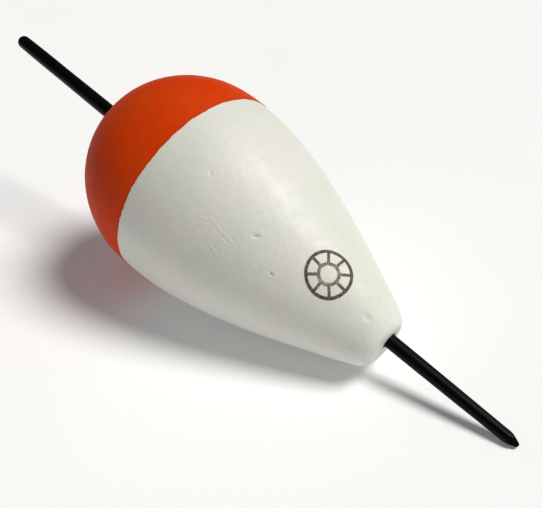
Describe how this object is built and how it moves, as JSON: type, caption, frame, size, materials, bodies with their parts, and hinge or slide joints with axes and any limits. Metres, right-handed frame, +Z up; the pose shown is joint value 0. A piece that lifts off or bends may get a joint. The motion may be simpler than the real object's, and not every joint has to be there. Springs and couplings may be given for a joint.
{
  "type": "bobber float",
  "caption": "Pear-shaped white foam fishing float with an orange dipped dome, on a slim black stem that slides through it.",
  "frame": {"origin": "on the floor, under the centre of the bounding box, with the float lying on the belly of its body and the point of its stem", "axes": "+Z up; the float's own axis lies in the XZ plane, 17.1 degrees from the floor, with the pointed end of the stem low towards +X and the orange dome high towards -X"},
  "size_m": [0.178, 0.0568, 0.0597],
  "materials": {
    "white_foam": "satin",
    "orange_dip": "satin",
    "black_stem": "satin",
    "dark_ink": "matte"
  },
  "bodies": {
    "float_body": {"foam_body": "white_foam", "orange_dip_coat": "orange_dip", "printed_mark": "dark_ink"},
    "stem": {"stem": "black_stem"}
  },
  "joints": [
    {"name": "stem_slide", "type": "slide", "parent": "float_body", "child": "stem", "axis": [-0.9585, -0.0111, 0.285], "range_m": [-0.02, 0.125]}
  ]
}
